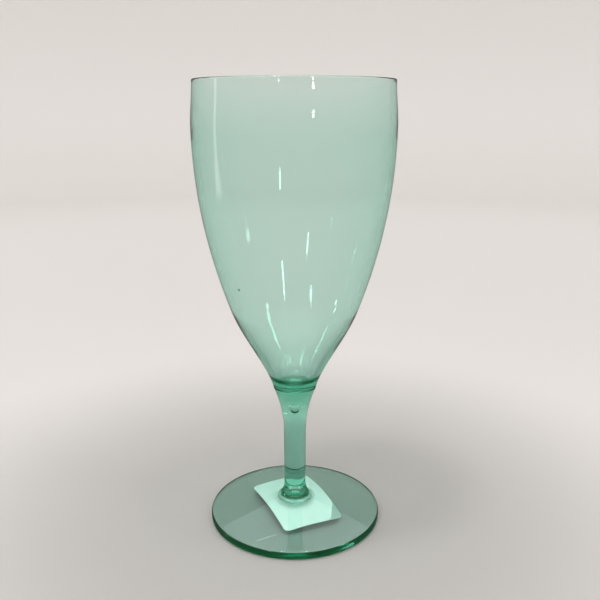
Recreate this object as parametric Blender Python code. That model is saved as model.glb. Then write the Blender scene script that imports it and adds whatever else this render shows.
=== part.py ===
"""A plastic wine glass: a thin bowl, a flared stem and a dished foot, bonded end to end, and a paper label.

Metres, +Z up. The origin is in the middle of the ring that the foot stands on, and +Z runs up the stem.
"""

from math import cos, hypot, pi, radians, sin, tan

import bmesh
import bpy

# Foot: a round plate, dished like a shallow cone, with a flat pad under the stem, that stands on its edge
FOOT_RADIUS = 0.0355
FOOT_EDGE_HEIGHT = 0.0034
FOOT_RISE = 0.0050
FOOT_EDGE_ROUND = 0.0009
STANDING_RING_WIDTH = 0.0016
FOOT_SPIGOT_ROOT = 0.0014
FOOT_SPIGOT_TIP = 0.0012
FOOT_SPIGOT_LENGTH = 0.0015

# Stem: a solid rod, with a tall flare under the bowl and a short one on the foot
STEM_LENGTH = 0.04935
STEM_HEAD_RADIUS = 0.0087
STEM_HEAD_FLARE = 0.0198
STEM_HEAD_ROUND = 0.0003
STEM_NECK_RADIUS = 0.0046
STEM_WAIST_RADIUS = 0.00445
STEM_BASE_RADIUS = 0.0082
STEM_BASE_FLARE = 0.0064
STEM_BASE_LIP = 0.0003
HEAD_POCKET = 0.0040
BASE_POCKET = 0.0030

# Bowl: a wall that leans out, turns up at the knee, is widest at the belly and closes in to a thin lip
BOWL_HEIGHT = 0.12015
BOWL_BASE_RADIUS = 0.0091
BOWL_BASE_ROUND = 0.0006
BOWL_KNEE_HEIGHT = 0.0322
BOWL_KNEE_RADIUS = 0.0250
BOWL_BELLY_DROP = 0.0162
BOWL_BELLY_RADIUS = 0.0385
BOWL_RIM_RADIUS = 0.0376
BOWL_LEAN = radians(20.5)
BOWL_WALL = 0.0018
BOWL_LIP = 0.0010
BOWL_LIP_TAPER = 0.0220
BOWL_FOOT_WALL = 0.0026
BOWL_FLOOR = 0.0030
BOWL_FLOOR_FILLET = 0.0040
BOWL_SPIGOT_ROOT = 0.0021
BOWL_SPIGOT_TIP = 0.0015
BOWL_SPIGOT_LENGTH = 0.0069

# Label: a paper rectangle with round corners, stuck to the hollow side of the foot
LABEL_WIDTH = 0.0255
LABEL_LENGTH = 0.0370
LABEL_CORNER = 0.0022
LABEL_THICKNESS = 0.00015
LABEL_SHIFT_X = 0.0006
LABEL_SHIFT_Y = 0.0005
LABEL_TURN = radians(24.0)

# Joints: the cement line between flat faces, the gap round a spigot, and the adhesive over the label
CEMENT_LINE = 0.00005
SPIGOT_CLEARANCE = 0.0003
SPIGOT_CHAMFER = 0.0004
LABEL_ADHESIVE = 0.0001

# How finely the round shapes are cut into facets
BOWL_SEGMENTS = 64
STEM_SEGMENTS = 48
FOOT_SEGMENTS = 64
FLANK_STEPS = 8
FLARE_STEPS = 9
FILLET_STEPS = 5
ROUND_STEPS = 3
CONE_STEPS = 4
LABEL_RINGS = 6
LABEL_SIDE_STEPS = 5
WELD = 1e-7
SHARP_ANGLE = radians(35.0)

# Heights of the faces where the pieces meet
PAD_HEIGHT = FOOT_EDGE_HEIGHT + FOOT_RISE
STEM_BOTTOM = PAD_HEIGHT + CEMENT_LINE
STEM_TOP = STEM_BOTTOM + STEM_LENGTH
BOWL_BOTTOM = STEM_TOP + CEMENT_LINE
BOWL_TOP = BOWL_BOTTOM + BOWL_HEIGHT

# The foot's cone runs from the flat pad under the stem out to its edge, and its hollow to the standing ring
CONE_OUTER_RADIUS = FOOT_RADIUS - FOOT_EDGE_ROUND
CONE_SLOPE = FOOT_RISE / (CONE_OUTER_RADIUS - STEM_BASE_RADIUS)
HOLLOW_RADIUS = CONE_OUTER_RADIUS - STANDING_RING_WIDTH

GREEN_TINT = (0.50, 0.80, 0.66, 1.0)
PAPER_WHITE = (0.90, 0.91, 0.88, 1.0)


def finish(name, colour, roughness, transmission):
    """A material with the colour and gloss of one piece."""
    material = bpy.data.materials.new(name)
    material.use_nodes = True
    shader = material.node_tree.nodes["Principled BSDF"]
    shader.inputs["Base Color"].default_value = colour
    shader.inputs["Roughness"].default_value = roughness
    shader.inputs["Metallic"].default_value = 0.0
    shader.inputs["Transmission Weight"].default_value = transmission
    material.diffuse_color = colour
    return material


def place(name, mesh, material, parent):
    """Puts a finished mesh in the scene as one named piece."""
    mesh.materials.append(material)
    mesh.shade_smooth()
    mesh.set_sharp_from_angle(angle=SHARP_ANGLE)
    piece = bpy.data.objects.new(name, mesh)
    piece.parent = parent
    bpy.context.scene.collection.objects.link(piece)
    return piece


def turned(name, profile, segments):
    """Spins (radius, height) points, which start and end on the axis, into a closed solid."""
    shape = bmesh.new()
    corners = [shape.verts.new((radius, 0.0, height)) for radius, height in profile]
    lines = [shape.edges.new(pair) for pair in zip(corners, corners[1:])]
    bmesh.ops.spin(shape, geom=corners + lines, axis=(0, 0, 1), angle=2 * pi, steps=segments)
    bmesh.ops.remove_doubles(shape, verts=shape.verts, dist=WELD)
    bmesh.ops.recalc_face_normals(shape, faces=shape.faces)
    mesh = bpy.data.meshes.new(name)
    shape.to_mesh(mesh)
    shape.free()
    return mesh


def arc(centre, across, up, start, end, steps):
    """Points on an ellipse round centre, from one angle to another, both ends included."""
    angles = [start + (end - start) * step / steps for step in range(steps + 1)]
    return [(centre[0] + across * cos(angle), centre[1] + up * sin(angle)) for angle in angles]


def curve(start, corner, end, steps):
    """Points on the curve that leaves start towards corner and reaches end from it, both ends included."""
    points = []
    for step in range(steps + 1):
        share = step / steps
        weights = ((1 - share) ** 2, 2 * share * (1 - share), share ** 2)
        points.append(tuple(sum(w * p[axis] for w, p in zip(weights, (start, corner, end))) for axis in (0, 1)))
    return points


def flank(low, high, low_slope, high_slope, steps):
    """Points up a smooth wall from low to high, with the given run per rise at its ends, low left out."""
    rise = high[1] - low[1]
    points = []
    for step in range(1, steps + 1):
        share = step / steps
        ease = share * share * (3 - 2 * share)
        leave = share * (1 - share) ** 2 * rise * low_slope
        arrive = share * share * (share - 1) * rise * high_slope
        points.append((low[0] + (high[0] - low[0]) * ease + leave + arrive, low[1] + rise * share))
    return points


def wall_at(height):
    """Thickness of the bowl's wall at a height: it thins to the lip, and thickens from the knee to the base."""
    below_rim = min((BOWL_TOP - height) / BOWL_LIP_TAPER, 1.0)
    below_knee = max(1 - (height - BOWL_BOTTOM) / BOWL_KNEE_HEIGHT, 0.0)
    return BOWL_LIP + (BOWL_WALL - BOWL_LIP) * below_rim + (BOWL_FOOT_WALL - BOWL_WALL) * below_knee


def hollow(wall):
    """Points up the inside of the bowl, at the wall's thickness from points that run up its outside."""
    points = []
    for index, (radius, height) in enumerate(wall):
        before = wall[max(index - 1, 0)]
        after = wall[min(index + 1, len(wall) - 1)]
        run = after[0] - before[0]
        rise = after[1] - before[1]
        share = wall_at(height) / hypot(run, rise)
        points.append((radius - share * rise, height + share * run))
    return points


def radius_at(wall, height):
    """Radius of an upward row of points at a height."""
    for (low_radius, low), (high_radius, high) in zip(wall, wall[1:]):
        if height <= high:
            return low_radius + (high_radius - low_radius) * (height - low) / (high - low)
    return wall[-1][0]


def spigot(foot_height, away, root, tip, length):
    """Points from the middle of a spigot's end back to its root; away is 1 for up and -1 for down."""
    end = foot_height + away * length
    chamfer = end - away * SPIGOT_CHAMFER
    return [(0.0, end), (tip - SPIGOT_CHAMFER, end), (tip, chamfer), (root, foot_height)]


def socket(mouth_height, into, root, tip, length, pocket):
    """Points from a socket's round closed end out to its mouth; into is 1 for up and -1 for down."""
    seat = mouth_height + into * length
    end = arc((0.0, seat), tip + SPIGOT_CLEARANCE, into * pocket, pi / 2, 0.0, FILLET_STEPS)
    return [(0.0, end[0][1])] + end[1:] + [(root + SPIGOT_CLEARANCE, mouth_height)]


def cone_top(radius):
    """Height of the foot's upper side at a radius."""
    return FOOT_EDGE_HEIGHT + CONE_SLOPE * (CONE_OUTER_RADIUS - radius)


def cone_underside(radius):
    """Height of the foot's hollow side at a radius, level under the stem."""
    return CONE_SLOPE * (HOLLOW_RADIUS - max(radius, STEM_BASE_RADIUS))


def foot_profile():
    points = spigot(PAD_HEIGHT, 1, FOOT_SPIGOT_ROOT, FOOT_SPIGOT_TIP, FOOT_SPIGOT_LENGTH)
    for step in range(CONE_STEPS):
        radius = STEM_BASE_RADIUS + (CONE_OUTER_RADIUS - STEM_BASE_RADIUS) * step / CONE_STEPS
        points.append((radius, cone_top(radius)))
    upper = (CONE_OUTER_RADIUS, FOOT_EDGE_HEIGHT - FOOT_EDGE_ROUND)
    lower = (CONE_OUTER_RADIUS, FOOT_EDGE_ROUND)
    points += arc(upper, FOOT_EDGE_ROUND, FOOT_EDGE_ROUND, pi / 2, 0.0, ROUND_STEPS)
    points += arc(lower, FOOT_EDGE_ROUND, FOOT_EDGE_ROUND, 0.0, -pi / 2, ROUND_STEPS)
    for step in range(CONE_STEPS + 1):
        radius = HOLLOW_RADIUS + (STEM_BASE_RADIUS - HOLLOW_RADIUS) * step / CONE_STEPS
        points.append((radius, cone_underside(radius)))
    points.append((0.0, cone_underside(0.0)))
    return points


def stem_profile():
    flare_bottom = STEM_TOP - STEM_HEAD_FLARE
    flare_corner = (STEM_NECK_RADIUS, (STEM_TOP + flare_bottom) / 2)
    head_edge = STEM_TOP - STEM_HEAD_ROUND
    round_centre = (STEM_HEAD_RADIUS - STEM_HEAD_ROUND, head_edge)
    fillet_bottom = STEM_BOTTOM + STEM_BASE_LIP
    fillet_width = STEM_BASE_RADIUS - STEM_WAIST_RADIUS
    fillet_centre = (STEM_BASE_RADIUS, fillet_bottom + STEM_BASE_FLARE)
    points = socket(STEM_TOP, -1, BOWL_SPIGOT_ROOT, BOWL_SPIGOT_TIP, BOWL_SPIGOT_LENGTH, HEAD_POCKET)
    points += arc(round_centre, STEM_HEAD_ROUND, STEM_HEAD_ROUND, pi / 2, 0.0, ROUND_STEPS)
    points += curve((STEM_HEAD_RADIUS, head_edge), flare_corner, (STEM_NECK_RADIUS, flare_bottom), FLARE_STEPS)[1:]
    points += arc(fillet_centre, fillet_width, STEM_BASE_FLARE, pi, 1.5 * pi, FLARE_STEPS)
    points.append((STEM_BASE_RADIUS, STEM_BOTTOM))
    lower = socket(STEM_BOTTOM, 1, FOOT_SPIGOT_ROOT, FOOT_SPIGOT_TIP, FOOT_SPIGOT_LENGTH, BASE_POCKET)
    return points + lower[::-1]


def bowl_wall():
    """Points up the outside of the bowl, from its base to where the lip starts."""
    slope = tan(BOWL_LEAN)
    base = (BOWL_BASE_RADIUS, BOWL_BOTTOM + BOWL_BASE_ROUND)
    knee = (BOWL_KNEE_RADIUS, BOWL_BOTTOM + BOWL_KNEE_HEIGHT)
    rim = (BOWL_RIM_RADIUS, BOWL_TOP - BOWL_LIP / 2)
    belly = (BOWL_BELLY_RADIUS, rim[1] - BOWL_BELLY_DROP)
    points = [base] + flank(base, knee, slope, slope, FLANK_STEPS)
    points += flank(knee, belly, slope, 0.0, FLANK_STEPS)
    return points + flank(belly, rim, 0.0, 0.0, FILLET_STEPS)


def bowl_profile():
    outside = bowl_wall()
    inside = hollow(outside)
    floor = BOWL_BOTTOM + BOWL_FLOOR
    corner = (radius_at(inside, floor), floor)
    fillet_top = (radius_at(inside, floor + BOWL_FLOOR_FILLET), floor + BOWL_FLOOR_FILLET)
    flat_edge = (corner[0] - BOWL_FLOOR_FILLET, floor)
    lip_centre = (BOWL_RIM_RADIUS - BOWL_LIP / 2, outside[-1][1])
    base_centre = (BOWL_BASE_RADIUS - BOWL_BASE_ROUND, outside[0][1])
    points = [(0.0, floor)] + curve(flat_edge, corner, fillet_top, FILLET_STEPS)
    points += [point for point in inside[:-1] if point[1] > fillet_top[1]]
    points += arc(lip_centre, BOWL_LIP / 2, BOWL_LIP / 2, pi, 0.0, 2 * ROUND_STEPS)
    points += outside[-2::-1]
    points += arc(base_centre, BOWL_BASE_ROUND, BOWL_BASE_ROUND, 0.0, -pi / 2, ROUND_STEPS)[1:]
    pin = spigot(BOWL_BOTTOM, -1, BOWL_SPIGOT_ROOT, BOWL_SPIGOT_TIP, BOWL_SPIGOT_LENGTH)
    return points + pin[::-1]


def label_outline():
    """Points round the label's edge about its own middle: four corner arcs joined by sides cut into steps."""
    half_width = LABEL_WIDTH / 2 - LABEL_CORNER
    half_length = LABEL_LENGTH / 2 - LABEL_CORNER
    corners = []
    for turn, (side, end) in enumerate(((1, 1), (-1, 1), (-1, -1), (1, -1))):
        centre = (side * half_width, end * half_length)
        start = turn * pi / 2
        corners.append(arc(centre, LABEL_CORNER, LABEL_CORNER, start, start + pi / 2, ROUND_STEPS))
    outline = []
    for here, following in zip(corners, corners[1:] + corners[:1]):
        outline += here
        for step in range(1, LABEL_SIDE_STEPS):
            share = step / LABEL_SIDE_STEPS
            outline.append(tuple(a + (b - a) * share for a, b in zip(here[-1], following[0])))
    return outline


def label_point(shape, across, along, share):
    """Adds one point of the label, at a share of the way out to its edge, on the foot's hollow side."""
    x = LABEL_SHIFT_X + share * (across * cos(LABEL_TURN) - along * sin(LABEL_TURN))
    y = LABEL_SHIFT_Y + share * (across * sin(LABEL_TURN) + along * cos(LABEL_TURN))
    return shape.verts.new((x, y, cone_underside(hypot(x, y)) - LABEL_ADHESIVE))


def label_sheet():
    """The label's upper face, laid on the hollow side of the foot in rings about its own middle."""
    shape = bmesh.new()
    outline = label_outline()
    middle = label_point(shape, 0.0, 0.0, 0.0)
    rings = []
    for ring in range(1, LABEL_RINGS + 1):
        rings.append([label_point(shape, across, along, ring / LABEL_RINGS) for across, along in outline])
    for index in range(len(outline)):
        after = (index + 1) % len(outline)
        shape.faces.new((middle, rings[0][index], rings[0][after]))
        for inner, outer in zip(rings, rings[1:]):
            shape.faces.new((inner[index], outer[index], outer[after], inner[after]))
    mesh = bpy.data.meshes.new("label")
    shape.to_mesh(mesh)
    shape.free()
    return mesh


def build():
    for item in list(bpy.data.objects):
        bpy.data.objects.remove(item, do_unlink=True)
    glass = bpy.data.objects.new("wine_glass", None)
    bpy.context.scene.collection.objects.link(glass)
    place("foot", turned("foot", foot_profile(), FOOT_SEGMENTS), finish("foot_plastic", GREEN_TINT, 0.05, 1.0), glass)
    place("stem", turned("stem", stem_profile(), STEM_SEGMENTS), finish("stem_plastic", GREEN_TINT, 0.05, 1.0), glass)
    place("bowl", turned("bowl", bowl_profile(), BOWL_SEGMENTS), finish("bowl_plastic", GREEN_TINT, 0.05, 1.0), glass)
    label = place("label", label_sheet(), finish("label_paper", PAPER_WHITE, 0.7, 0.0), glass)
    backing = label.modifiers.new("paper thickness", "SOLIDIFY")
    backing.thickness = LABEL_THICKNESS
    backing.offset = -1.0


build()
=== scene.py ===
"""Looks of a plastic wine glass: a clear green bowl, stem and foot, bonded end to end.

A paper label is stuck under the foot. Metres, +Z up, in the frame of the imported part, which stands
on z = 0. Each piece is a finer copy of its solid.
"""

from math import cos, hypot, pi, radians, sin, tan

import bmesh
import bpy
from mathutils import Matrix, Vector


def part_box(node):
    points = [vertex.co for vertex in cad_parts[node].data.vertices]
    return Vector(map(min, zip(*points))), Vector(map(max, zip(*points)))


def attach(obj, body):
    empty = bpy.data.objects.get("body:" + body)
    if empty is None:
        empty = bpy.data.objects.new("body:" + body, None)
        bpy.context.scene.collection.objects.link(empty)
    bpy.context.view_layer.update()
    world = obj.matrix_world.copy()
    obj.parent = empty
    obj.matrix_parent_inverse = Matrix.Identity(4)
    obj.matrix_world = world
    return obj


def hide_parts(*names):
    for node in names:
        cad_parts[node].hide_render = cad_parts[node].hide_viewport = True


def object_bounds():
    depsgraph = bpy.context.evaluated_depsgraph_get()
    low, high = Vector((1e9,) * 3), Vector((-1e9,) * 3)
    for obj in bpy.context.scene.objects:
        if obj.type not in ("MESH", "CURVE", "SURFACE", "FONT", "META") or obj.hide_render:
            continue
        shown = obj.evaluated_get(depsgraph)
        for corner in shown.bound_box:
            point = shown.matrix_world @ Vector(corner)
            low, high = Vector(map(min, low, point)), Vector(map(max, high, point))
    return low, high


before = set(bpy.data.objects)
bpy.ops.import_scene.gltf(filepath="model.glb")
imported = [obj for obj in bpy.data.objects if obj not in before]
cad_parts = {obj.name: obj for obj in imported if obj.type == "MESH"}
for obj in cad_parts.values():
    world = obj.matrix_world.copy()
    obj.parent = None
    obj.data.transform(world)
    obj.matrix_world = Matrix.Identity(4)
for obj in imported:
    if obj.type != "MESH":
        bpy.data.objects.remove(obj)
cad_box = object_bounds()
foot_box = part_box("foot")
stem_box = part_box("stem")
bowl_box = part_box("bowl")
GLASS_MIDDLE = (cad_box[0] + cad_box[1]) / 2

# Joints: the cement line between the flat faces, how far the pieces lap there so that light passes,
# and how far in from the edge the lap starts
CEMENT_LINE = 0.00005
CEMENT_LAP = 0.00005
BONDED_INSET = 0.0003

# Faces where the pieces meet
STEM_BOTTOM = stem_box[0].z
STEM_TOP = stem_box[1].z
PAD_HEIGHT = STEM_BOTTOM - CEMENT_LINE
BOWL_BOTTOM = STEM_TOP + CEMENT_LINE
BOWL_TOP = bowl_box[1].z

# Foot: a round plate, dished like a shallow cone
FOOT_RADIUS = foot_box[1].x
FOOT_EDGE_HEIGHT = 0.0034
FOOT_EDGE_ROUND = 0.0009
STANDING_RING_WIDTH = 0.0016

# Stem: a solid rod, with a tall flare under the bowl and a short one on the foot
STEM_HEAD_RADIUS = stem_box[1].x
STEM_HEAD_FLARE = 0.0198
STEM_HEAD_ROUND = 0.0003
STEM_NECK_RADIUS = 0.0046
STEM_WAIST_RADIUS = 0.00445
STEM_BASE_RADIUS = 0.0082
STEM_BASE_FLARE = 0.0064
STEM_BASE_LIP = 0.00006

# Air left in the stem past the ends of the two spigots
HEAD_BUBBLE_TOP = STEM_TOP - 0.0068
HEAD_BUBBLE_RADIUS = 0.0018
HEAD_BUBBLE_CROWN = 0.0003
HEAD_BUBBLE_DEPTH = 0.0040
BASE_BUBBLE_MIDDLE = STEM_BOTTOM + 0.0024
BASE_BUBBLE_RADIUS = 0.0019

# Bowl: a wall that leans out, turns up at the knee, is widest at the belly and closes in to a thin lip
BOWL_BASE_RADIUS = 0.0091
BOWL_BASE_ROUND = 0.0014
BOWL_KNEE_HEIGHT = 0.0322
BOWL_KNEE_RADIUS = 0.0250
BOWL_BELLY_DROP = 0.0162
BOWL_BELLY_RADIUS = bowl_box[1].x
BOWL_RIM_RADIUS = 0.0376
BOWL_LEAN = radians(20.5)
BOWL_WALL = 0.0018
BOWL_LIP = 0.0010
BOWL_LIP_TAPER = 0.0220
BOWL_FOOT_WALL = 0.0026
BOWL_FLOOR = 0.0030
BOWL_FLOOR_FILLET = 0.0040

# Label: a paper rectangle with round corners, stuck to the hollow side of the foot. In its near right
# corner it lies a hair into the plastic, and elsewhere a film of air is left
LABEL_WIDTH = 0.0255
LABEL_LENGTH = 0.0370
LABEL_CORNER = 0.0022
LABEL_THICKNESS = 0.00015
LABEL_ADHESIVE = 0.0001
LABEL_SHIFT_X = 0.0006
LABEL_SHIFT_Y = 0.0005
LABEL_TURN = radians(24.0)
LABEL_BITE = 0.00002
LABEL_STUCK_WIDTH = 0.0084
LABEL_STUCK_LENGTH = 0.0140
LABEL_STUCK_POWER = 0.75
LABEL_STUCK_EDGE = 0.12

# How finely the shapes are cut into facets
ROUND_SEGMENTS = 192
FLANK_STEPS = 40
FLARE_STEPS = 32
FILLET_STEPS = 16
ROUND_STEPS = 8
CONE_STEPS = 12
LABEL_RINGS = 24
LABEL_SIDE_STEPS = 20
WELD = 1e-7
SHARP_ANGLE = radians(35.0)

# Slope of the foot's cone, from the flat pad under the stem out to its edge
CONE_OUTER_RADIUS = FOOT_RADIUS - FOOT_EDGE_ROUND
CONE_SLOPE = (PAD_HEIGHT - FOOT_EDGE_HEIGHT) / (CONE_OUTER_RADIUS - STEM_BASE_RADIUS)
HOLLOW_RADIUS = CONE_OUTER_RADIUS - STANDING_RING_WIDTH

# Plastic: what it takes out of light on its way through, and how it bends light
PLASTIC_BEND = 1.50
PLASTIC_TINT = (0.0, 0.694, 0.51, 1.0)
PLASTIC_DEPTH = 134.0
STEM_PLASTIC_DEPTH = 118.0
FOOT_PLASTIC_DEPTH = 80.0

# Its surface: a wave left by the mould, hair scratches, smears, one longer scratch and dark specks
WAVE_SCALE = 60.0
HAIR_STRETCH = (900.0, 900.0, 60.0)
HAIR_BAND = (0.66, 0.72)
SMEAR_SCALE = 90.0
SMEAR_BAND = (0.45, 0.75)
RELIEF_HEIGHT = 0.00006
HAIR_RELIEF = 0.01
SCRATCH_RELIEF = 0.4
POLISH = 0.015
SMEAR_ROUGHNESS = 0.03
HAIR_ROUGHNESS = 0.06
SCRATCH_ROUGHNESS = 0.30
SCRATCH_GLINT = 0.6
SPECK_COLOUR = (0.05, 0.06, 0.05, 1.0)

# Two specks of dust on the bowl
SPECK_PLACES = ((0.0341, -0.0142, 0.1373), (-0.0201, -0.0217, 0.1036))
SPECK_RADIUS = 0.0007

# One longer scratch on the foot's upper side
SCRATCH_START = Vector((-0.0162, -0.0288, 0.0))
SCRATCH_END = Vector((-0.0054, -0.0249, 0.0))
SCRATCH_WIDTH = 0.00012
SCRATCH_FLOOR = 0.0028
SCRATCH_FADE = 0.2

# Paper of the label: two near whites, mixed by fine fibres and soft clouds
PAPER_DARK = (0.89, 0.90, 0.88, 1.0)
PAPER_LIGHT = (0.95, 0.96, 0.945, 1.0)
PAPER_BAND = (0.35, 0.65)
FIBRE_STRETCH = (1500.0, 5000.0, 1500.0)
FIBRE_SHARE = 0.6
CLOUD_SCALE = 220.0
CLOUD_SHARE = 0.4
PAPER_ROUGHNESS = 0.65
FIBRE_ROUGHNESS = 0.15
FIBRE_HEIGHT = 0.00003
FIBRE_RELIEF = 0.4

BLACK = (0.0, 0.0, 0.0, 1.0)
WHITE = (1.0, 1.0, 1.0, 1.0)

# Stage: a pale floor that sweeps up into a round wall, with painted shade: the floor is darker round and
# under the glass and paler away from it. Mirror reflections show a share of its brightness
FLOOR_DROP = 0.0001
FLOOR_RADIUS = 1.1
SWEEP_RADIUS = 0.4
WALL_HEIGHT = 1.2
FLOOR_SHADE_COLOUR = (0.325, 0.311, 0.297, 1.0)
FLOOR_FAR_COLOUR = (0.50, 0.479, 0.46, 1.0)
FLOOR_EDGE_COLOUR = (0.66, 0.635, 0.61, 1.0)
FLOOR_NEAR_RADIUS = 0.06
FLOOR_FAR_RADIUS = 0.22
WALL_COLOUR = (0.62, 0.60, 0.58, 1.0)
WALL_GLOW = (0.08, 0.076, 0.073, 1.0)
WALL_FOOT_HEIGHT = 0.16
STAGE_ROUGHNESS = 0.9
STAGE_GLOSS = 0.1
REFLECTION_SHARE = 0.3

# Side glow: a soft upright band of the stage at the left, which shows only in mirror reflections
SIDE_GLOW_TURN = radians(-93.0)
SIDE_GLOW_START = 0.45
SIDE_GLOW_FULL = 0.60
SIDE_GLOW_CORE = 0.02
SIDE_GLOW_EDGE = 0.08
SIDE_GLOW_COLOUR = (2.2, 2.2, 2.2, 1.0)

# Light: an even sky, a wide soft lamp overhead, and small panels all round, each with its own glow
SKY_STRENGTH = 1.0
OVERHEAD_HEIGHT = 1.4
OVERHEAD_SIZE = 1.2
OVERHEAD_POWER = 9.0
PANEL_DISTANCE = 0.9
PANELS = (
    ("ceiling_left", radians(-55.0), radians(78.0), 0.10, 0.14, 60.0),
    ("ceiling_right", radians(52.0), radians(80.5), 0.06, 0.09, 40.0),
    ("left_side", radians(-100.0), radians(17.5), 0.06, 0.06, 16.0),
    ("left_front_low", radians(-21.0), radians(20.6), 0.035, 0.04, 22.0),
    ("left_front_middle", radians(-34.0), radians(27.5), 0.05, 0.08, 22.0),
    ("left_front_high", radians(-38.5), radians(32.0), 0.04, 0.05, 22.0),
    ("right_front_low", radians(20.0), radians(11.6), 0.03, 0.045, 22.0),
    ("right_front_high", radians(22.5), radians(26.0), 0.04, 0.11, 22.0),
    ("right_side_low", radians(77.0), radians(14.3), 0.05, 0.015, 12.0),
    ("right_side_high", radians(70.0), radians(30.5), 0.12, 0.05, 30.0),
)

# Camera: where the photograph was taken from, and its angle of view
CAMERA_PLACE = (0.00215, -0.27835, 0.16864)
CAMERA_PITCH = radians(15.007)
CAMERA_LENS = 43.5
CAMERA_SENSOR = 36.0
CAMERA_NEAR = 0.01

# How often a ray may bounce, so that light gets through all the walls of the glass
LIGHT_BOUNCES = 32


class Signal:
    """A socket of a finish's nodes. A sum on signals adds its Math nodes."""

    def __init__(self, finish, socket):
        self.finish = finish
        self.socket = socket

    def maths(self, operation, *terms):
        return self.finish.node("Math", {"operation": operation}, dict(enumerate(terms)))

    def __add__(self, other):
        return self.maths("ADD", self, other)

    def __radd__(self, other):
        return self.maths("ADD", other, self)

    def __sub__(self, other):
        return self.maths("SUBTRACT", self, other)

    def __rsub__(self, other):
        return self.maths("SUBTRACT", other, self)

    def __mul__(self, other):
        return self.maths("MULTIPLY", self, other)

    def __rmul__(self, other):
        return self.maths("MULTIPLY", other, self)


class Finish:
    """A material in the making, with one method that adds any node to it."""

    def __init__(self, name):
        self.material = bpy.data.materials.new(name)
        self.material.use_nodes = True
        self.tree = self.material.node_tree
        self.tree.nodes.clear()

    def node(self, kind, settings, inputs, output=0):
        """Adds a node, makes its settings, fills its sockets and gives one of its outputs."""
        node = self.tree.nodes.new("ShaderNode" + kind)
        for name, value in settings.items():
            setattr(node, name, value)
        for name, value in inputs.items():
            if isinstance(value, Signal):
                self.tree.links.new(value.socket, node.inputs[name])
            else:
                node.inputs[name].default_value = value
        return Signal(self, node.outputs[output])

    def band(self, signal, low, high):
        """A signal's way from low to high, eased, as 0 to 1."""
        return self.node("MapRange", {"interpolation_type": "SMOOTHSTEP"}, {0: signal, 1: low, 2: high})

    def noise(self, place, scale, detail):
        return self.node("TexNoise", {}, {"Vector": place, "Scale": scale, "Detail": detail})

    def stretched(self, place, scale):
        return self.node("VectorMath", {"operation": "MULTIPLY"}, {0: place, 1: scale})

    def dot(self, place, direction):
        return self.node("VectorMath", {"operation": "DOT_PRODUCT"}, {0: place, 1: direction}, "Value")

    def place(self):
        return self.node("TexCoord", {}, {}, "Object")

    def mixed(self, share, first, second):
        """A colour between two, by a share."""
        return self.node("Mix", {"data_type": "RGBA"}, {0: share, 6: first, 7: second}, 2)

    def close(self, surface, volume=None):
        """Ends the nodes in the material's output."""
        ends = {"Surface": surface}
        if volume:
            ends["Volume"] = volume
        output = self.tree.nodes.new("ShaderNodeOutputMaterial")
        for name, signal in ends.items():
            self.tree.links.new(signal.socket, output.inputs[name])
        return self.material


def arc(centre, across, up, start, end, steps):
    """Points on an ellipse round centre, from one angle to another, both ends included."""
    angles = [start + (end - start) * step / steps for step in range(steps + 1)]
    return [(centre[0] + across * cos(angle), centre[1] + up * sin(angle)) for angle in angles]


def curve(start, corner, end, steps):
    """Points on the curve that leaves start towards corner and reaches end from it, with both ends."""
    corners = (start, corner, end)
    points = []
    for step in range(steps + 1):
        share = step / steps
        weights = ((1 - share) ** 2, 2 * share * (1 - share), share ** 2)
        radius = sum(weight * point[0] for weight, point in zip(weights, corners))
        height = sum(weight * point[1] for weight, point in zip(weights, corners))
        points.append((radius, height))
    return points


def ease(value):
    """A value held between 0 and 1, eased at both ends."""
    held = min(max(value, 0.0), 1.0)
    return held * held * (3 - 2 * held)


def flank(low, high, low_slope, high_slope, steps):
    """Points up a smooth wall from low to high, with the given run per rise at its ends.

    The lowest point is left out.
    """
    rise = high[1] - low[1]
    points = []
    for step in range(1, steps + 1):
        share = step / steps
        leave = share * (1 - share) ** 2 * rise * low_slope
        arrive = share * share * (share - 1) * rise * high_slope
        radius = low[0] + (high[0] - low[0]) * ease(share) + leave + arrive
        points.append((radius, low[1] + rise * share))
    return points


def straight(start, end, steps):
    """Points from start to end, start left out."""
    shares = [step / steps for step in range(1, steps + 1)]
    return [tuple(a + (b - a) * share for a, b in zip(start, end)) for share in shares]


def wall_at(height):
    """Thickness of the bowl's wall at a height: thinner at the lip, thicker from the knee down."""
    below_rim = min((BOWL_TOP - height) / BOWL_LIP_TAPER, 1.0)
    below_knee = max(1 - (height - BOWL_BOTTOM) / BOWL_KNEE_HEIGHT, 0.0)
    return BOWL_LIP + (BOWL_WALL - BOWL_LIP) * below_rim + (BOWL_FOOT_WALL - BOWL_WALL) * below_knee


def hollow(wall):
    """Points up the inside of the bowl, at the wall's thickness from points that run up its outside."""
    points = []
    for index, (radius, height) in enumerate(wall):
        before = wall[max(index - 1, 0)]
        after = wall[min(index + 1, len(wall) - 1)]
        run = after[0] - before[0]
        rise = after[1] - before[1]
        share = wall_at(height) / hypot(run, rise)
        points.append((radius - share * rise, height + share * run))
    return points


def radius_at(wall, height):
    """Radius of an upward row of points at a height."""
    for (low_radius, low), (high_radius, high) in zip(wall, wall[1:]):
        if height <= high:
            return low_radius + (high_radius - low_radius) * (height - low) / (high - low)
    return wall[-1][0]


def cone_underside(radius):
    """Height of the foot's hollow side at a radius, level under the stem."""
    return CONE_SLOPE * (HOLLOW_RADIUS - max(radius, STEM_BASE_RADIUS))


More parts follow.
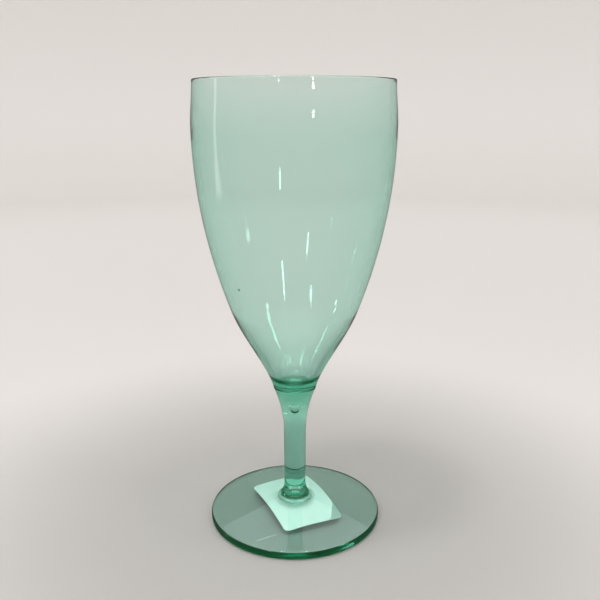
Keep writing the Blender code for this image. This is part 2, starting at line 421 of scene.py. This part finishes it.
def foot_profile():
    """Points from the middle of the pad out over the edge and back under to the axis."""
    pad_edge = (STEM_BASE_RADIUS, PAD_HEIGHT)
    pad_top = STEM_BOTTOM + CEMENT_LAP
    lap_edge = (STEM_BASE_RADIUS - BONDED_INSET, pad_top)
    upper = (CONE_OUTER_RADIUS, FOOT_EDGE_HEIGHT - FOOT_EDGE_ROUND)
    lower = (CONE_OUTER_RADIUS, FOOT_EDGE_ROUND)
    middle = (STEM_BASE_RADIUS, cone_underside(STEM_BASE_RADIUS))
    points = [(0.0, pad_top), lap_edge, pad_edge]
    points += straight(pad_edge, (CONE_OUTER_RADIUS, FOOT_EDGE_HEIGHT), CONE_STEPS)[:-1]
    points += arc(upper, FOOT_EDGE_ROUND, FOOT_EDGE_ROUND, pi / 2, 0.0, ROUND_STEPS)
    points += arc(lower, FOOT_EDGE_ROUND, FOOT_EDGE_ROUND, 0.0, -pi / 2, ROUND_STEPS)
    points += [(HOLLOW_RADIUS, 0.0)]
    points += straight((HOLLOW_RADIUS, 0.0), middle, CONE_STEPS)
    return points + [(0.0, middle[1])]


def stem_profile():
    """Points from the middle of the stem's top down its side to the middle of its bottom."""
    flare_bottom = STEM_TOP - STEM_HEAD_FLARE
    flare_corner = (STEM_NECK_RADIUS, (STEM_TOP + flare_bottom) / 2)
    head_edge = STEM_TOP - STEM_HEAD_ROUND
    round_centre = (STEM_HEAD_RADIUS - STEM_HEAD_ROUND, head_edge)
    neck = (STEM_NECK_RADIUS, flare_bottom)
    fillet_centre = (STEM_BASE_RADIUS, STEM_BOTTOM + STEM_BASE_LIP + STEM_BASE_FLARE)
    waist = (STEM_WAIST_RADIUS, fillet_centre[1])
    fillet_width = STEM_BASE_RADIUS - STEM_WAIST_RADIUS
    points = [(0.0, STEM_TOP)]
    points += arc(round_centre, STEM_HEAD_ROUND, STEM_HEAD_ROUND, pi / 2, 0.0, ROUND_STEPS)
    points += curve((STEM_HEAD_RADIUS, head_edge), flare_corner, neck, FLARE_STEPS)[1:]
    points += straight(neck, waist, CONE_STEPS)
    points += arc(fillet_centre, fillet_width, STEM_BASE_FLARE, pi, 1.5 * pi, FLARE_STEPS)[1:]
    return points + [(STEM_BASE_RADIUS, STEM_BOTTOM), (0.0, STEM_BOTTOM)]


def head_bubble_profile():
    """Points up the half round pocket of air under the bowl, with its low crown."""
    middle = (0.0, HEAD_BUBBLE_TOP - HEAD_BUBBLE_CROWN)
    points = arc(middle, HEAD_BUBBLE_RADIUS, HEAD_BUBBLE_DEPTH, -pi / 2, 0.0, FILLET_STEPS)
    points += arc(middle, HEAD_BUBBLE_RADIUS, HEAD_BUBBLE_CROWN, 0.0, pi / 2, FILLET_STEPS)[1:]
    return points


def base_bubble_profile():
    """Points up the round bubble of air above the foot."""
    middle = (0.0, BASE_BUBBLE_MIDDLE)
    return arc(middle, BASE_BUBBLE_RADIUS, BASE_BUBBLE_RADIUS, -pi / 2, pi / 2, 2 * FILLET_STEPS)


def bowl_wall():
    """Points up the outside of the bowl, from its base to where the lip starts."""
    slope = tan(BOWL_LEAN)
    base = (BOWL_BASE_RADIUS, BOWL_BOTTOM + BOWL_BASE_ROUND)
    knee = (BOWL_KNEE_RADIUS, BOWL_BOTTOM + BOWL_KNEE_HEIGHT)
    rim = (BOWL_RIM_RADIUS, BOWL_TOP - BOWL_LIP / 2)
    belly = (BOWL_BELLY_RADIUS, rim[1] - BOWL_BELLY_DROP)
    points = [base] + flank(base, knee, slope, slope, FLANK_STEPS)
    points += flank(knee, belly, slope, 0.0, FLANK_STEPS)
    return points + flank(belly, rim, 0.0, 0.0, FILLET_STEPS)


def bowl_profile():
    """Points from the middle of the bowl's floor up its inside, over the lip and down under its base."""
    outside = bowl_wall()
    inside = hollow(outside)
    floor = BOWL_BOTTOM + BOWL_FLOOR
    corner = (radius_at(inside, floor), floor)
    fillet_top = (radius_at(inside, floor + BOWL_FLOOR_FILLET), floor + BOWL_FLOOR_FILLET)
    flat_edge = (corner[0] - BOWL_FLOOR_FILLET, floor)
    lip_centre = (BOWL_RIM_RADIUS - BOWL_LIP / 2, outside[-1][1])
    base_centre = (BOWL_BASE_RADIUS - BOWL_BASE_ROUND, outside[0][1])
    points = [(0.0, floor)] + curve(flat_edge, corner, fillet_top, FILLET_STEPS)
    points += [point for point in inside[:-1] if point[1] > fillet_top[1]]
    points += arc(lip_centre, BOWL_LIP / 2, BOWL_LIP / 2, pi, 0.0, 2 * ROUND_STEPS)
    points += outside[-2::-1]
    points += arc(base_centre, BOWL_BASE_ROUND, BOWL_BASE_ROUND, 0.0, -pi / 2, ROUND_STEPS)[1:]
    lap_edge = (STEM_HEAD_RADIUS - STEM_HEAD_ROUND - BONDED_INSET, STEM_TOP - CEMENT_LAP)
    return points + [lap_edge, (0.0, lap_edge[1])]


def spin(shape, profile):
    """Spins (radius, height) points about the axis into a shape and gives the new faces."""
    before = set(shape.faces)
    corners = [shape.verts.new((radius, 0.0, height)) for radius, height in profile]
    lines = [shape.edges.new(pair) for pair in zip(corners, corners[1:])]
    bmesh.ops.spin(shape, geom=corners + lines, axis=(0, 0, 1), angle=2 * pi, steps=ROUND_SEGMENTS)
    bmesh.ops.remove_doubles(shape, verts=shape.verts, dist=WELD)
    return [face for face in shape.faces if face not in before]


def turned(name, profile, bubbles=()):
    """A closed turned mesh, with closed bubbles of air inside it."""
    shape = bmesh.new()
    for outline in (profile, *bubbles):
        skin = spin(shape, outline)
        bmesh.ops.recalc_face_normals(shape, faces=skin)
        if outline is not profile:
            bmesh.ops.reverse_faces(shape, faces=skin)
    mesh = bpy.data.meshes.new(name)
    shape.to_mesh(mesh)
    shape.free()
    return mesh


def show(name, mesh, finish, node):
    """Puts a finished mesh in the scene as the piece that stands for a CAD node."""
    mesh.materials.append(finish)
    mesh.shade_smooth()
    mesh.set_sharp_from_angle(angle=SHARP_ANGLE)
    piece = bpy.data.objects.new(name, mesh)
    bpy.context.scene.collection.objects.link(piece)
    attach(piece, "root")
    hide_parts(node)


def label_outline():
    """Points round the label's edge: four corner arcs joined by sides that are cut into steps."""
    half_width = LABEL_WIDTH / 2 - LABEL_CORNER
    half_length = LABEL_LENGTH / 2 - LABEL_CORNER
    corners = []
    for turn, (side, end) in enumerate(((1, 1), (-1, 1), (-1, -1), (1, -1))):
        centre = (side * half_width, end * half_length)
        start = turn * pi / 2
        corners.append(arc(centre, LABEL_CORNER, LABEL_CORNER, start, start + pi / 2, ROUND_STEPS))
    outline = []
    for here, following in zip(corners, corners[1:] + corners[:1]):
        outline += here + straight(here[-1], following[0], LABEL_SIDE_STEPS)[:-1]
    return outline


def label_hold(across, along):
    """How well the label holds at a place: 1 in its near right corner, 0 where air lies behind it."""
    from_side = max(LABEL_WIDTH / 2 - across, 0.0) / LABEL_STUCK_WIDTH
    from_end = max(LABEL_LENGTH / 2 + along, 0.0) / LABEL_STUCK_LENGTH
    return ease((1 - from_side ** LABEL_STUCK_POWER - from_end ** LABEL_STUCK_POWER) / LABEL_STUCK_EDGE)


def label_point(shape, across, along, share):
    """Adds one point of the label, at a share of the way out to its edge, on the foot's hollow side."""
    x = LABEL_SHIFT_X + share * (across * cos(LABEL_TURN) - along * sin(LABEL_TURN))
    y = LABEL_SHIFT_Y + share * (across * sin(LABEL_TURN) + along * cos(LABEL_TURN))
    gap = LABEL_ADHESIVE - (LABEL_ADHESIVE + LABEL_BITE) * label_hold(across * share, along * share)
    return shape.verts.new((x, y, cone_underside(hypot(x, y)) - gap))


def label_mesh():
    """The label as a thin closed sheet on the foot's hollow side, in rings about its own middle."""
    shape = bmesh.new()
    outline = label_outline()
    middle = label_point(shape, 0.0, 0.0, 0.0)
    rings = []
    for ring in range(1, LABEL_RINGS + 1):
        share = ring / LABEL_RINGS
        rings.append([label_point(shape, across, along, share) for across, along in outline])
    for index in range(len(outline)):
        after = (index + 1) % len(outline)
        shape.faces.new((middle, rings[0][index], rings[0][after]))
        for inner, outer in zip(rings, rings[1:]):
            shape.faces.new((inner[index], outer[index], outer[after], inner[after]))
    backing = bmesh.ops.extrude_face_region(shape, geom=shape.faces[:], use_keep_orig=True)["geom"]
    lowered = [part for part in backing if isinstance(part, bmesh.types.BMVert)]
    bmesh.ops.translate(shape, verts=lowered, vec=(0.0, 0.0, -LABEL_THICKNESS))
    bmesh.ops.recalc_face_normals(shape, faces=shape.faces)
    mesh = bpy.data.meshes.new("label_sheet")
    shape.to_mesh(mesh)
    shape.free()
    return mesh


def dust_specks(finish, place):
    """1 on the specks, with soft edges."""
    specks = 0.0
    for speck_place in SPECK_PLACES:
        away = finish.node("VectorMath", {"operation": "DISTANCE"}, {0: place, 1: speck_place}, "Value")
        specks = specks + (1 - finish.band(away, 0.5 * SPECK_RADIUS, SPECK_RADIUS))
    return specks


def foot_scratch(finish, place):
    """1 along one scratch on the foot's upper side, which fades at both ends."""
    run = SCRATCH_END - SCRATCH_START
    side = Vector((-run.y, run.x, 0.0)).normalized()
    offset = finish.node("VectorMath", {"operation": "SUBTRACT"}, {0: place, 1: SCRATCH_START})
    across = finish.dot(offset, side)
    along = finish.dot(offset, run / run.length_squared)
    height = finish.node("SeparateXYZ", {}, {0: place}, "Z")
    line = 1 - finish.band(across.maths("ABSOLUTE", across), 0.3 * SCRATCH_WIDTH, SCRATCH_WIDTH)
    ends = finish.band(along, 0.0, SCRATCH_FADE) * (1 - finish.band(along, 1 - SCRATCH_FADE, 1.0))
    return line * ends * finish.band(height, SCRATCH_FLOOR, 1.05 * SCRATCH_FLOOR)


def clear_plastic(name, depth, scratch=None, specks=None):
    """Clear green plastic with a wave, hair scratches and smears, and with a piece's own marks."""
    finish = Finish(name)
    place = finish.place()
    wave = finish.noise(place, WAVE_SCALE, detail=1.0)
    hair = finish.band(finish.noise(finish.stretched(place, HAIR_STRETCH), 1.0, detail=3.0), *HAIR_BAND)
    smear = finish.band(finish.noise(place, SMEAR_SCALE, detail=4.0), *SMEAR_BAND)
    relief = wave + HAIR_RELIEF * hair
    looks = {
        "Base Color": WHITE,
        "Roughness": POLISH + SMEAR_ROUGHNESS * smear + HAIR_ROUGHNESS * hair,
        "IOR": PLASTIC_BEND,
        "Transmission Weight": 1.0,
    }
    if scratch:
        torn = scratch(finish, place)
        relief = relief + SCRATCH_RELIEF * torn
        looks["Roughness"] = looks["Roughness"] + SCRATCH_ROUGHNESS * torn
        looks["Metallic"] = SCRATCH_GLINT * torn
    if specks:
        looks["Base Color"] = finish.mixed(specks(finish, place), WHITE, SPECK_COLOUR)
    bump = {"Strength": 1.0, "Distance": RELIEF_HEIGHT, "Height": relief}
    looks["Normal"] = finish.node("Bump", {}, bump)
    surface = finish.node("BsdfPrincipled", {}, looks)
    volume = finish.node("VolumeAbsorption", {}, {"Color": PLASTIC_TINT, "Density": depth})
    return finish.close(surface, volume)


def label_paper():
    """Matt white paper with a faint grain of fibres."""
    finish = Finish("label_paper")
    place = finish.place()
    fibre = finish.noise(finish.stretched(place, FIBRE_STRETCH), 1.0, detail=4.0)
    cloud = finish.noise(place, CLOUD_SCALE, detail=3.0)
    share = finish.band(FIBRE_SHARE * fibre + CLOUD_SHARE * cloud, *PAPER_BAND)
    bump = {"Strength": FIBRE_RELIEF, "Distance": FIBRE_HEIGHT, "Height": fibre}
    looks = {
        "Base Color": finish.mixed(share, PAPER_DARK, PAPER_LIGHT),
        "Roughness": PAPER_ROUGHNESS + FIBRE_ROUGHNESS * fibre,
        "Normal": finish.node("Bump", {}, bump),
    }
    return finish.close(finish.node("BsdfPrincipled", {}, looks))


def mirrored(finish):
    """1 on what is seen by a mirror reflection, 0 on what is seen straight or through the glass."""
    glossy = finish.node("LightPath", {}, {}, "Is Glossy Ray")
    bounced = finish.node("LightPath", {}, {}, "Is Reflection Ray")
    return glossy * bounced


def side_glow(finish, place):
    """1 on the band of the stage at the left, with soft edges."""
    toward = (sin(SIDE_GLOW_TURN), -cos(SIDE_GLOW_TURN), 0.0)
    aside = (cos(SIDE_GLOW_TURN), sin(SIDE_GLOW_TURN), 0.0)
    along = finish.dot(place, toward)
    across = finish.dot(place, aside)
    core = 1 - finish.band(across.maths("ABSOLUTE", across), SIDE_GLOW_CORE, SIDE_GLOW_EDGE)
    return core * finish.band(along, SIDE_GLOW_START, SIDE_GLOW_FULL)


def stage_paint():
    """Matt pale paint with painted shade round the glass, paler up the wall, which glows a little.
    Mirror reflections show it dimmer.
    """
    finish = Finish("stage_paint")
    place = finish.place()
    height = finish.node("SeparateXYZ", {}, {0: place}, "Z")
    flat = finish.stretched(place, (1.0, 1.0, 0.0))
    radius = finish.node("VectorMath", {"operation": "LENGTH"}, {0: flat}, "Value")
    # painted shade: the floor is darker round and under the glass, and paler away from it
    away = finish.band(radius, FLOOR_NEAR_RADIUS, FLOOR_FAR_RADIUS)
    far = finish.band(radius, FLOOR_FAR_RADIUS, FLOOR_RADIUS)
    up = finish.band(height, 0.0, WALL_FOOT_HEIGHT)
    floor = finish.mixed(away, FLOOR_SHADE_COLOUR, finish.mixed(far, FLOOR_FAR_COLOUR, FLOOR_EDGE_COLOUR))
    reflected = mirrored(finish)
    dim = 1 - (1 - REFLECTION_SHARE) * reflected
    colour = finish.mixed(dim, BLACK, finish.mixed(up, floor, WALL_COLOUR))
    wall_glow = finish.mixed(dim * up, BLACK, WALL_GLOW)
    glow = finish.mixed(reflected * side_glow(finish, place), wall_glow, SIDE_GLOW_COLOUR)
    looks = {
        "Base Color": colour,
        "Roughness": STAGE_ROUGHNESS,
        "Specular IOR Level": STAGE_GLOSS,
        "Emission Color": glow,
        "Emission Strength": 1.0,
    }
    return finish.close(finish.node("BsdfPrincipled", {}, looks))


def build_stage():
    """The floor and the wall that it sweeps up into, all round."""
    sweep_centre = (FLOOR_RADIUS, SWEEP_RADIUS - FLOOR_DROP)
    profile = [(0.0, -FLOOR_DROP)]
    profile += arc(sweep_centre, SWEEP_RADIUS, SWEEP_RADIUS, -pi / 2, 0.0, FILLET_STEPS)
    profile += [(FLOOR_RADIUS + SWEEP_RADIUS, WALL_HEIGHT)]
    shape = bmesh.new()
    spin(shape, profile)
    bmesh.ops.recalc_face_normals(shape, faces=shape.faces)
    bmesh.ops.reverse_faces(shape, faces=shape.faces)
    mesh = bpy.data.meshes.new("stage")
    shape.to_mesh(mesh)
    shape.free()
    mesh.shade_smooth()
    mesh.materials.append(stage_paint())
    floor = bpy.data.objects.new("stage", mesh)
    bpy.context.scene.collection.objects.link(floor)


def add_lamp(name, place, size, power):
    """A flat lamp at a place, turned to the middle of the glass."""
    lamp = bpy.data.lights.new(name, "AREA")
    lamp.shape = "RECTANGLE"
    lamp.size = size[0]
    lamp.size_y = size[1]
    lamp.energy = power
    holder = bpy.data.objects.new(name, lamp)
    holder.location = place
    holder.rotation_euler = (holder.location - GLASS_MIDDLE).to_track_quat("Z", "Y").to_euler()
    holder.visible_camera = False
    bpy.context.scene.collection.objects.link(holder)


def light_stage():
    """The sky, the overhead lamp and the panels, with azimuth 0 at the camera and 90 at its right."""
    world = bpy.data.worlds.new("studio_sky")
    bpy.context.scene.world = world
    world.use_nodes = True
    sky = world.node_tree.nodes["Background"]
    sky.inputs["Color"].default_value = WHITE
    sky.inputs["Strength"].default_value = SKY_STRENGTH
    add_lamp("overhead", (0.0, 0.0, OVERHEAD_HEIGHT), (OVERHEAD_SIZE, OVERHEAD_SIZE), OVERHEAD_POWER)
    for name, azimuth, elevation, width, height, glow in PANELS:
        away = Vector((cos(elevation) * sin(azimuth), -cos(elevation) * cos(azimuth), sin(elevation)))
        place = GLASS_MIDDLE + PANEL_DISTANCE * away
        add_lamp(name, place, (width, height), glow * pi * width * height)


def add_camera():
    camera = bpy.data.cameras.new("photo_camera")
    camera.lens = CAMERA_LENS
    camera.sensor_width = CAMERA_SENSOR
    camera.clip_start = CAMERA_NEAR
    holder = bpy.data.objects.new("photo_camera", camera)
    holder.location = CAMERA_PLACE
    holder.rotation_euler = (pi / 2 - CAMERA_PITCH, 0.0, 0.0)
    bpy.context.scene.collection.objects.link(holder)
    bpy.context.scene.camera = holder


foot = turned("foot_plate", foot_profile())
stem = turned("stem_rod", stem_profile(), (head_bubble_profile(), base_bubble_profile()))
bowl = turned("bowl_cup", bowl_profile())
foot_plastic = clear_plastic("foot_plastic", FOOT_PLASTIC_DEPTH, foot_scratch)
stem_plastic = clear_plastic("stem_plastic", STEM_PLASTIC_DEPTH)
bowl_plastic = clear_plastic("bowl_plastic", PLASTIC_DEPTH, specks=dust_specks)
show("foot_plate", foot, foot_plastic, "foot")
show("stem_rod", stem, stem_plastic, "stem")
show("bowl_cup", bowl, bowl_plastic, "bowl")
show("label_sheet", label_mesh(), label_paper(), "label")
build_stage()
light_stage()
add_camera()

scene = bpy.context.scene
scene.view_settings.view_transform = "Standard"
scene.cycles.blur_glossy = 0.0
scene.cycles.max_bounces = LIGHT_BOUNCES
scene.cycles.glossy_bounces = LIGHT_BOUNCES
scene.cycles.transmission_bounces = LIGHT_BOUNCES
